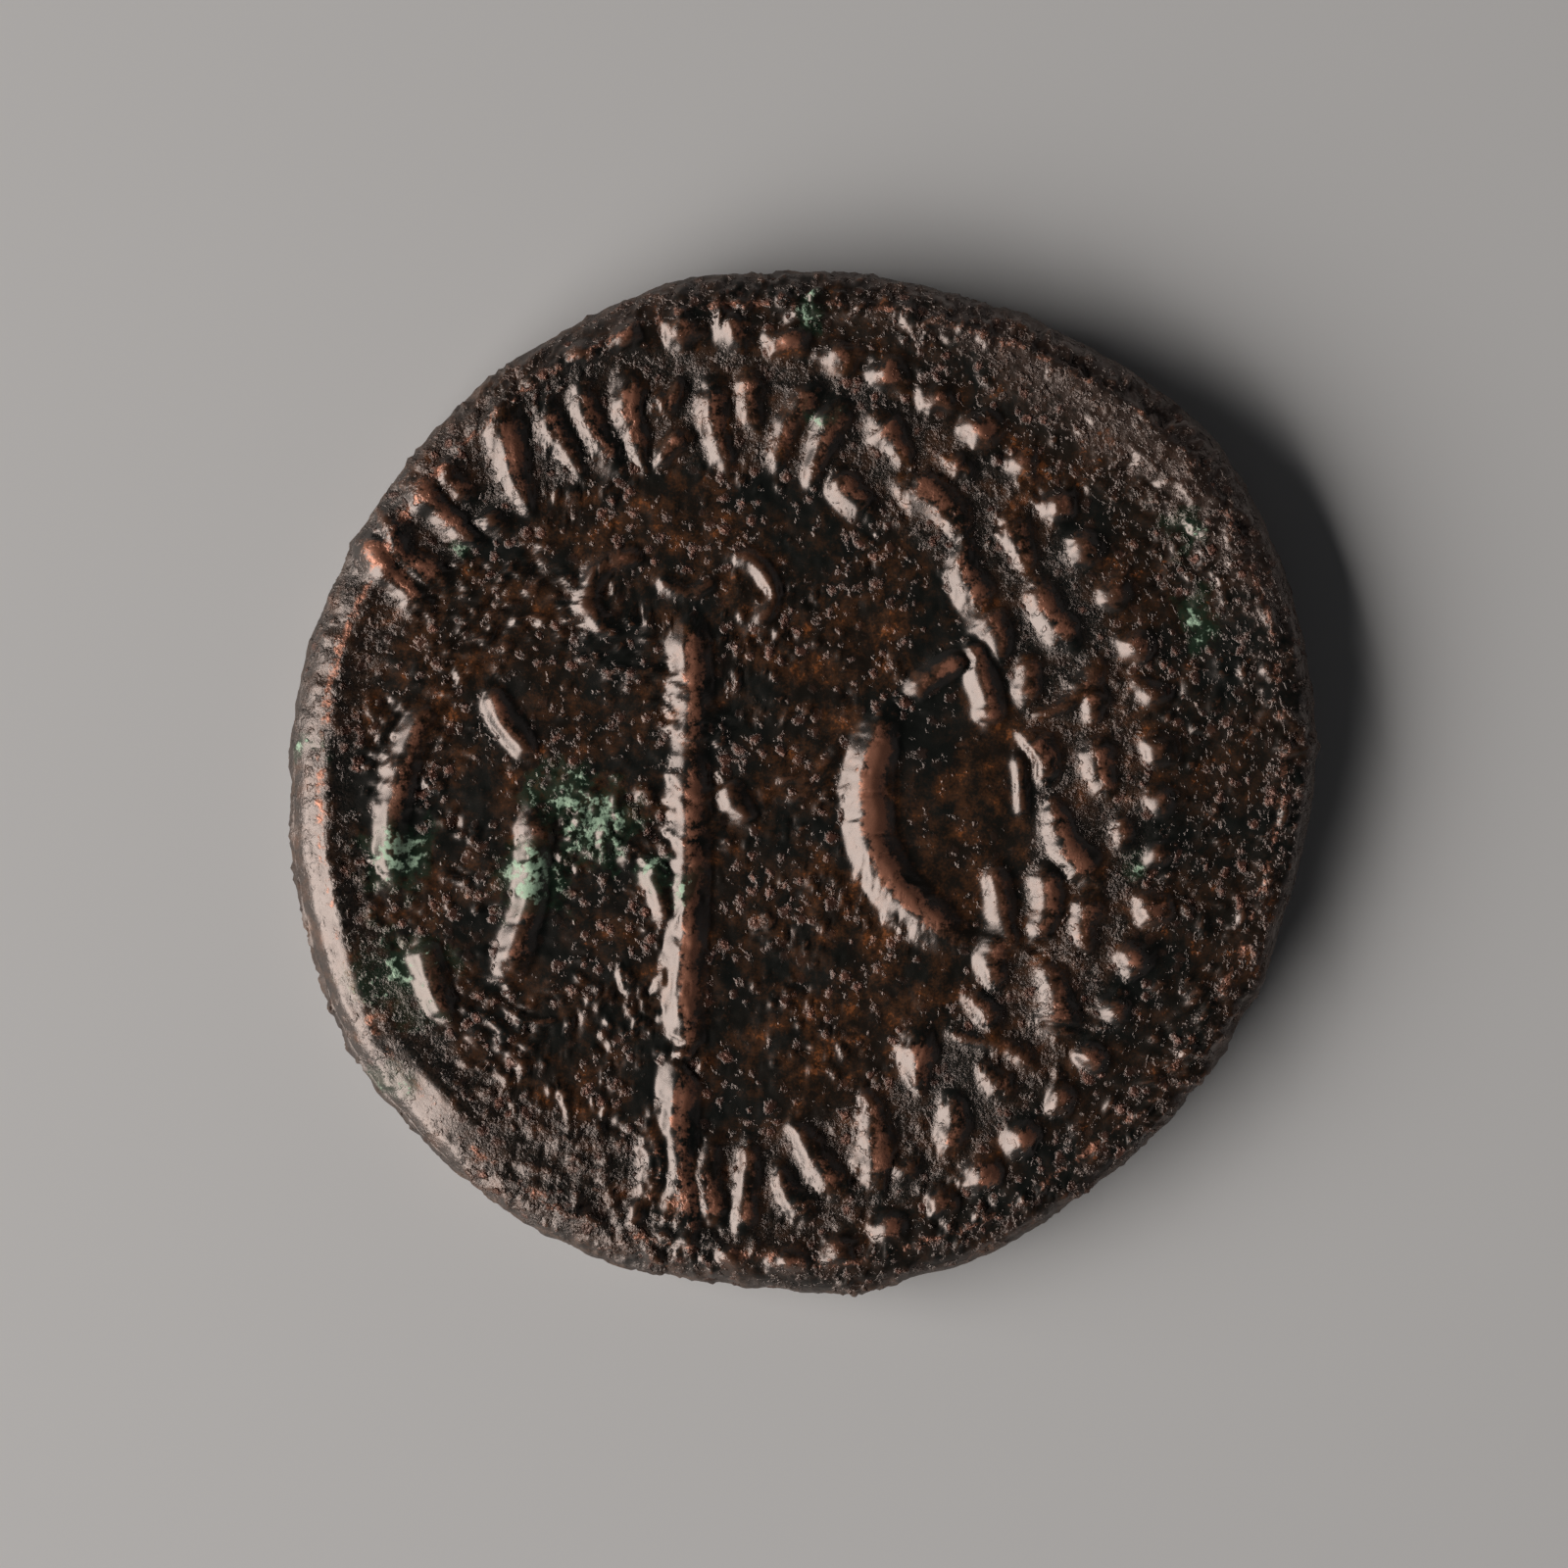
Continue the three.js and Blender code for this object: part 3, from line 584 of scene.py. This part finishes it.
def strike_tree(patina):
    """The node tree that strikes the blank, ages it and gives it its patina."""
    tree = bpy.data.node_groups.new("strike", "GeometryNodeTree")
    for name, kind, _ in STRIKE_INPUTS:
        tree.interface.new_socket(name, in_out="INPUT", socket_type=kind)
    tree.interface.new_socket("Coin", in_out="OUTPUT", socket_type="NodeSocketGeometry")
    start = Flow(tree)
    group = tree.nodes.new("NodeGroupInput")
    given = {name: Flow(tree, group.outputs[name]) for name, *_ in STRIKE_INPUTS}

    position = start.node("GeometryNodeInputPosition")
    flat_position = position.vector("MULTIPLY", (1, 1, 0))
    in_mm = position.vector("MULTIPLY", (1 / MM,) * 3)
    seeded = in_mm.vector("ADD", start.node("ShaderNodeCombineXYZ", None, {2: given["Seed"]}))
    normal = start.node("GeometryNodeInputNormal")
    facing = normal.part("Z")
    level = facing.maths("ABSOLUTE")
    upper = facing.between(0.15, 0.6)
    under = (facing * -1.0).between(0.15, 0.6)
    inset = held(start, "inset")

    # The lines wander a little, as hand-cut dies do, and are worn unevenly. The copper is read from the
    # lines moved a little to their right, away from the lamp: bare metal rubbed at the crests, and painted
    # glow on the flanks away from the lamp.
    sway = seeded.drift(2.6, 3.0).vector("MULTIPLY_ADD", (0.45, 0.45, 0.45), seeded.drift(0.9, 1.0))
    place = position.vector("ADD", sway.scaled(given["Wander"] * 2.0)).vector("MULTIPLY", (1, 1, 0))
    wear = 1.12 - seeded.noise(0.35) * 0.5
    beads = dict(count=given["Bead count"], radius=given["Bead ring radius"],
                 half=given["Bead half width"], rise=given["Bead rise"])

    def upper_relief(place):
        bold, fine = (lines_height(start, given[die], place) for die in ("Bold die", "Fine die"))
        ring = beads_height(start, place, given["Die centre"], beads) * inset.between(0.35 * MM, 0.9 * MM)
        return bold.larger(fine).larger(ring)

    raised = upper_relief(place) * wear * upper
    # The copper copy of the relief is shifted away from the lamp: rubbed copper at the crests, and painted
    # glow on the far flank.
    rubbed = upper_relief(place.vector("SUBTRACT", given["Copper shift from lamp"])) * wear * upper
    rim_crest = inset.between(0.5 * MM, 0.85 * MM) * (1 - inset.between(0.95 * MM, 1.3 * MM)) * upper
    rubbed = rubbed.larger(rim_crest * 0.25 * MM)

    under_beads = dict(beads, count=given["Under bead count"], radius=given["Under bead ring radius"],
                       rise=UNDER_RISE)
    below = lines_height(start, given["Under die"], place)
    below = below.larger(beads_height(start, place, given["Under die centre"], under_beads))
    below = below * wear * under

    # Corrosion: broad lumps and a fine grain, with granules and pits that crowd together in places.
    # The hollow of the right ring stayed smooth.
    lumps = (seeded.noise(0.8) - 0.5) * given["Lump height"]
    grain = (seeded.noise(3.6, 3.0, 0.6) - 0.5) * given["Grain height"]
    side = flat_position.part("X")
    crowd = seeded.noise(0.35).between(0.38, 0.62) - side.between(-4 * MM, 3 * MM) * 0.4
    crowd = crowd + 0.9 * held(start, "frosted")
    granules = (seeded.noise(2.6, 3.0, 0.6) + 0.16 * crowd).between(0.65, 0.77)
    pits = (seeded.noise(1.9) + 0.12 * crowd).between(0.68, 0.80)
    from_hollow = flat_position.vector("DISTANCE", given["Smooth centre"], output="Value")
    rough = 0.15 + 0.85 * (from_hollow / given["Smooth reach"]).between(0.85, 1.15)
    crust = grain + granules * given["Granule height"] * (0.4 + 0.6 * level)
    skin = (crust - pits * given["Pit depth"]) * rough + lumps

    # Near the edge the metal was dragged: outwards in ridges at the left, and round the rim elsewhere.
    # The wall is layered and pitted.
    left = 1 - side.between(-11.5 * MM, -9.0 * MM)
    ridges = (dragged_noise(seeded, 1.6, 0.4) - 0.5) * left * (1 - inset.between(1.2 * MM, 3.4 * MM))
    slivers = dragged_noise(seeded, 0.7, 2.1).between(0.56, 0.72) * 0.4 * (1 - left)
    slivers = slivers * (1 - inset.between(1.0 * MM, 4.5 * MM))
    wall = 1 - level.between(0.25, 0.8)
    layered = seeded.vector("MULTIPLY", (0.35, 0.35, 3.0)).noise(1.0, 3.0)
    pitted = seeded.noise(1.3, 4.0, 0.7)
    layers = (layered + pitted - 1.0) * given["Layer height"] * wall
    skin = skin + (ridges + slivers) * given["Flow height"] * upper + layers

    # It is smoother where the coin rests, where it was rubbed and on the struck lines.
    resting = (1 - inset.between(1.6 * MM, 1.9 * MM)) * inset.between(0.45 * MM, 0.7 * MM) * under
    on_lines = ((raised + below) / RELIEF_UNIT).between(0.0, 0.8)
    skin = skin * (1 - 0.8 * resting) * (1 - 0.8 * held(start, "smooth")) * (1 - 0.75 * on_lines)

    # Verdigris spreads from its spots, on the upper face only.
    spots = start.node("GeometryNodeObjectInfo", None, {"Object": given["Verdigris spots"]}, "Geometry")
    grown = seeded.drift(0.9, 3.0).vector("MULTIPLY_ADD", (2.4 * MM, 2.4 * MM, 0), flat_position)
    green = 1 - distance(start, spots, grown, "POINTS") / nearest(start, spots, grown, "reach")
    green = green - 2.0 * (1 - facing.between(-0.3, 0.2))
    skin = skin + green.between(0.1, 0.9) * granules.larger(0.3) * given["Verdigris growth"]

    # Hairline cracks run across the struck lines.
    across = seeded.vector("MULTIPLY", (0.5, 1.2, 1)).noise(0.9)
    crack = across.between(0.50, 0.52) * (1 - across.between(0.52, 0.54))
    struck = (raised + below) * (1 - crack * given["Crack share"])
    lift = start.node("ShaderNodeCombineXYZ", None, {2: struck * facing.maths("SIGN")})
    total = struck + skin
    proud = total - start.node("GeometryNodeBlurAttribute", None, {"Value": total, "Iterations": 14})

    shape = given["Blank"]
    for key, value in (
        ("relief", (raised + 1.5 * below) / RELIEF_UNIT),
        ("rubbed", (rubbed + 1.5 * below) / RELIEF_UNIT),
        ("crest", proud / CREST_UNIT),
        ("verdigris", green),
        ("wall", wall),
        ("rough", rough),
    ):
        inputs = {"Geometry": shape, "Name": key, "Value": value}
        shape = start.node("GeometryNodeStoreNamedAttribute", {"data_type": "FLOAT"}, inputs)
    offset = normal.scaled(skin).vector("ADD", lift)
    shape = start.node("GeometryNodeSetPosition", None, {"Geometry": shape, "Offset": offset})
    shape = start.node("GeometryNodeSetShadeSmooth", None, {"Geometry": shape})
    shape = start.node("GeometryNodeRealizeInstances", None, {"Geometry": shape})
    shape = start.node("GeometryNodeSetMaterial", None, {"Geometry": shape, "Material": patina})
    tree.links.new(shape.socket, tree.nodes.new("NodeGroupOutput").inputs["Coin"])
    return tree


# ---------------------------------------------------------------------------------------------
# The patina: a dark oxide skin, black-green to brown, with rust-brown mottling, copper where the high
# points are rubbed and painted as a glow on the flanks away from the lamp, and powdery verdigris.
# It is glossy enough to throw hard glints.

BLACK_GREEN, DARK_BROWN = (0.0035, 0.006, 0.005, 1), (0.011, 0.007, 0.004, 1)
RUST, RUST_STAIN = (0.090, 0.033, 0.011, 1), (0.28, 0.085, 0.022, 1)
# Pale dust between the strokes of the ring, also painted sheen that stands in for fine glints there.
PALE_DUST_AND_SHEEN = (0.050, 0.038, 0.030, 1)
FROST = (0.055, 0.030, 0.021, 1)
GRANULE = (0.30, 0.125, 0.085, 1)
WORN_BROWN = (0.12, 0.050, 0.026, 1)
RUBBED_COPPER_AND_GLOW = (0.56, 0.23, 0.14, 1)
# Earth on the wall, also kept dark as painted shade on the flan's side.
DARK_EARTH_AND_SHADE, LIGHT_EARTH_AND_SHADE = (0.010, 0.008, 0.006, 1), (0.060, 0.036, 0.022, 1)
GREEN_FILM, GREEN_POWDER = (0.009, 0.030, 0.015, 1), (0.36, 0.54, 0.37, 1)
BUMP_DEPTH = 0.05 * MM


def patina_material():
    made = bpy.data.materials.new("bronze_patina")
    made.use_nodes = True
    tree = made.node_tree
    tree.nodes.clear()
    start = Flow(tree)
    place = start.node("ShaderNodeTexCoord", output="Object")
    place = place.node("ShaderNodeMapping", None, {"Vector": place, "Scale": (1 / MM,) * 3})

    def kept(key):
        return start.node("ShaderNodeAttribute", {"attribute_name": key}, output="Fac")

    def mixed(share, under, over):
        return start.node("ShaderNodeMix", {"data_type": "RGBA"}, {0: share, 6: under, 7: over}, 2)

    green, frosted, wall, smooth = kept("verdigris"), kept("frosted"), kept("wall"), kept("smooth")
    flat = 1 - kept("relief").between(0.0, 0.35)
    patches = place.noise(0.4, 3.0)
    mottle = place.noise(1.6, 5.0, 0.66)
    fine = place.noise(4.4, 2.5)
    dust = place.noise(14.0, 3.0, 0.6)
    gather = place.vector("ADD", (40, 0, 0)).noise(0.55).between(0.40, 0.62)

    # Where on the coin each finish lies: the band of the stroke ring, the bare border at the right
    # with its small chips, and the frosted rim.
    from_die = place.vector("DISTANCE", (DIE_X, DIE_Y, FIELD_EDGE_Z / MM), output="Value")
    above = place.part("Z").between(1.2, 1.6)
    across = place.part("X")
    band = from_die.between(8.7, 9.3) * (1 - from_die.between(11.6, 12.2)) * above
    border = from_die.between(11.9, 12.9) * across.between(-9.5, -6.5) * (1 - wall) * above
    chips = dragged_noise(place, 3.0, 7.0) + 0.30 * (dragged_noise(place, 7.0, 15.0) - 0.5)
    frost = (frosted + 1.6 * (fine - 0.5) + 0.8 * (mottle - 0.5)).between(0.25, 0.9)

    # Small round granules of crust, of many sizes, which crowd together in places.
    cells = {"Vector": place, "Scale": 2.5}
    size = start.node("ShaderNodeTexVoronoi", None, cells, "Color")
    size = start.node("ShaderNodeSeparateColor", None, {0: size})
    granule = start.node("ShaderNodeTexVoronoi", None, cells, "Distance")
    granule = (0.16 + 0.38 * size + 0.9 * (fine - 0.5) + 0.3 * (dust - 0.5) - granule).between(0.0, 0.30)
    granule = granule * flat * kept("rough") * (0.12 + 0.88 * gather) * (1 - smooth)

    rust = (mottle + 0.4 * (dust - 0.5)).between(0.42, 0.68) * patches.between(0.32, 0.56)
    stain = (mottle + 0.3 * patches + 0.4 * (dust - 0.5)).between(0.80, 0.90)
    worn = (0.5 * kept("crest") + 2.0 * (fine - 0.5) + 0.8 * (dust - 0.5)).between(0.30, 1.0)
    reddened = (1 - across.between(-12.0, -8.0)) * (1 - smooth)
    # Copper: bare metal rubbed at the crests, and painted glow on the flanks away from the lamp.
    copper_and_painted_glow = kept("rubbed") - 0.80 + 0.8 * (fine - 0.5) + 0.6 * (dust - 0.5) + 1.1 * (mottle - 0.5)
    copper_and_painted_glow = (copper_and_painted_glow + 0.15 * reddened).between(0.0, 0.35)
    # The wall's colour, by how steep the surface is: earth crust, and painted shade on the flan's side.
    earth_and_painted_shade = mixed(mottle.between(0.42, 0.62), DARK_EARTH_AND_SHADE, LIGHT_EARTH_AND_SHADE)
    film = (green + 0.35 + 1.6 * (fine - 0.5) + 1.8 * (mottle - 0.5)).between(0.2, 0.75)
    powder = (green + 2.8 * (fine - 0.5) + 0.8 * (dust - 0.5)).between(0.60, 1.05) * film

    # Each coat covers the ones before it.
    colour = mixed(patches.between(0.38, 0.62), BLACK_GREEN, DARK_BROWN)
    for share, coat in (
        (rust * (0.85 - 0.45 * border), RUST),
        (stain * 0.8, RUST_STAIN),
        # Pale dust in the stroke ring's band, partly painted sheen of fine glints.
        (band * flat * 0.5 * dust.between(0.4, 0.6), PALE_DUST_AND_SHEEN),
        (frost * 0.6, FROST),
        (granule * 0.55, GRANULE),
        (worn * 0.7, WORN_BROWN),
        (copper_and_painted_glow * 0.85, RUBBED_COPPER_AND_GLOW),
        (wall * 0.75, earth_and_painted_shade),
        (film * 0.8, GREEN_FILM),
        (powder, GREEN_POWDER),
    ):
        colour = mixed(share, colour, coat)

    gloss = 0.22 + 0.16 * mottle + 0.12 * copper_and_painted_glow + 0.35 * powder + 0.05 * frost + 0.35 * wall
    bare_metal = 0.55 * copper_and_painted_glow.larger(granule) * (1 - powder)
    grit = (fine + 0.20 * (dust - 0.5) + 0.08 * band + 0.08 * frost).between(0.60, 0.76)
    grit = grit * (0.12 + 0.88 * gather + 0.7 * band + 1.2 * frost) * (0.25 + 0.75 * flat)
    specks = 0.6 * grit + 1.25 * granule + (0.05 + 0.50 * band * flat + 0.25 * frost) * dust
    specks = specks + (1.2 * fine + 2.0 * mottle) * wall + 1.1 * chips.between(0.62, 0.72) * border
    specks = specks * (1 - 0.85 * smooth)
    bump = start.node("ShaderNodeBump", None, {"Strength": 1.0, "Distance": BUMP_DEPTH, "Height": specks})
    surface = start.node("ShaderNodeBsdfPrincipled", None, {
        "Base Color": colour, "Roughness": gloss, "Normal": bump, "Metallic": bare_metal,
        "IOR": 2.05, "Specular Tint": (1.0, 0.83, 0.75, 1),
    })
    tree.links.new(surface.socket, tree.nodes.new("ShaderNodeOutputMaterial").inputs["Surface"])
    return made


strike = blank.modifiers.new("strike", "NODES")
strike.node_group = strike_tree(patina_material())
strike_values = {name: value for name, _, value in STRIKE_INPUTS if value is not None}
for item in strike.node_group.interface.items_tree:
    if item.in_out == "INPUT" and item.name in strike_values:
        strike[item.identifier] = strike_values[item.name]

struck_mesh = bpy.data.meshes.new_from_object(blank.evaluated_get(bpy.context.evaluated_depsgraph_get()))
blank.modifiers.clear()
for tool in [blank] + [value for _, kind, value in STRIKE_INPUTS if kind == "NodeSocketObject"]:
    bpy.data.objects.remove(tool)
places = np.empty(3 * len(struck_mesh.vertices), "f")
struck_mesh.vertices.foreach_get("co", places)
places[2::3] = places[2::3].clip(0)  # worn flat where it rests
struck_mesh.vertices.foreach_set("co", places)
struck_mesh.update()
coin = bpy.data.objects.new("struck_coin", struck_mesh)
bpy.context.scene.collection.objects.link(coin)
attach(coin, "root")
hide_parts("coin")

# ---------------------------------------------------------------------------------------------
# The setting: a pale floor, a large soft lamp low on the left, and the camera straight above, a
# little to the left of the coin's middle.

FLOOR_HALF = 0.6
CARD_COLOUR, CARD_ROUGHNESS = (0.66, 0.65, 0.64, 1), 0.8
LAMP_BEARING, LAMP_ELEVATION, LAMP_REACH = math.radians(200), math.radians(29), 0.5
LAMP_WIDTH, LAMP_HEIGHT, LAMP_WATTS, LAMP_COLOUR = 0.68, 0.32, 3.7, (1.0, 0.97, 0.95)
SKY_LOW, SKY_HIGH = (0.13, 0.13, 0.135, 1), (0.010, 0.011, 0.012, 1)
EYE_X, EYE_Y = -0.48 * MM, -0.04 * MM
VIEW_WIDTH = 41.3 * MM
LENS, SENSOR = 100.0, 36.0

corners = [(-FLOOR_HALF, -FLOOR_HALF, 0), (FLOOR_HALF, -FLOOR_HALF, 0),
           (FLOOR_HALF, FLOOR_HALF, 0), (-FLOOR_HALF, FLOOR_HALF, 0)]
floor = mesh_object("floor", corners, faces=[(0, 1, 2, 3)])
card = bpy.data.materials.new("pale_card")
card.use_nodes = True
card_surface = card.node_tree.nodes["Principled BSDF"]
card_surface.inputs["Base Color"].default_value = CARD_COLOUR
card_surface.inputs["Roughness"].default_value = CARD_ROUGHNESS
floor.data.materials.append(card)

lamp = bpy.data.lights.new("key", "AREA")
lamp.shape = "RECTANGLE"
lamp.size, lamp.size_y = LAMP_WIDTH, LAMP_HEIGHT
lamp.energy = LAMP_WATTS
lamp.color = LAMP_COLOUR
key_lamp = bpy.data.objects.new("key", lamp)
key_out = LAMP_REACH * math.cos(LAMP_ELEVATION)
key_lamp.location = (key_out * math.cos(LAMP_BEARING), key_out * math.sin(LAMP_BEARING),
                LAMP_REACH * math.sin(LAMP_ELEVATION))
key_lamp.rotation_euler = (math.pi / 2 - LAMP_ELEVATION, 0, LAMP_BEARING + math.pi / 2)
bpy.context.scene.collection.objects.link(key_lamp)

world = bpy.data.worlds.new("studio")
world.use_nodes = True
sky = Flow(world.node_tree)
up = sky.node("ShaderNodeTexCoord", output="Generated").part("Z")
shades = {0: up.between(0.1, 0.7), 6: SKY_LOW, 7: SKY_HIGH}
shade = sky.node("ShaderNodeMix", {"data_type": "RGBA"}, shades, 2)
world.node_tree.links.new(shade.socket, world.node_tree.nodes["Background"].inputs["Color"])
bpy.context.scene.world = world
bpy.context.scene.view_settings.view_transform = "Standard"

camera = bpy.data.cameras.new("camera")
camera.lens = LENS
camera.sensor_width = SENSOR
camera.clip_start = 0.001
eye = bpy.data.objects.new("camera", camera)
eye.location = (EYE_X, EYE_Y, VIEW_WIDTH * LENS / SENSOR + FIELD_EDGE_Z)
bpy.context.scene.collection.objects.link(eye)
bpy.context.scene.camera = eye
